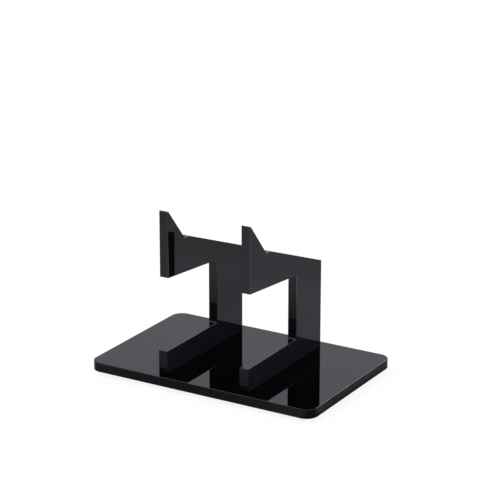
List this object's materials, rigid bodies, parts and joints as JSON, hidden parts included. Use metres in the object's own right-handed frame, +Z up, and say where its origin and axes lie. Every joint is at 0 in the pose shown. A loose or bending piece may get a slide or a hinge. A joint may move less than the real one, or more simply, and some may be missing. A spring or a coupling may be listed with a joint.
{
  "type": "game controller stand",
  "caption": "Black acrylic desk stand: hooked upright brackets on a rounded base plate cradle a hand-held game controller.",
  "frame": {"origin": "middle of the base plate's footprint, at the underside of the foot pads", "axes": "+X to the right as seen from the front, +Y to the rear, +Z up; the hooks are at the front, towards -Y"},
  "size_m": [0.104, 0.068, 0.0733],
  "materials": {
    "acrylic": "polished black cast acrylic sheet, mirror gloss on the faces and on the cut edges",
    "pad_rubber": "matt black, soft"
  },
  "bodies": {
    "root": {"base_plate": "acrylic", "left_bracket": "acrylic", "right_bracket": "acrylic", "front_left_pad": "pad_rubber", "front_right_pad": "pad_rubber", "rear_left_pad": "pad_rubber", "rear_right_pad": "pad_rubber"}
  },
  "joints": []
}
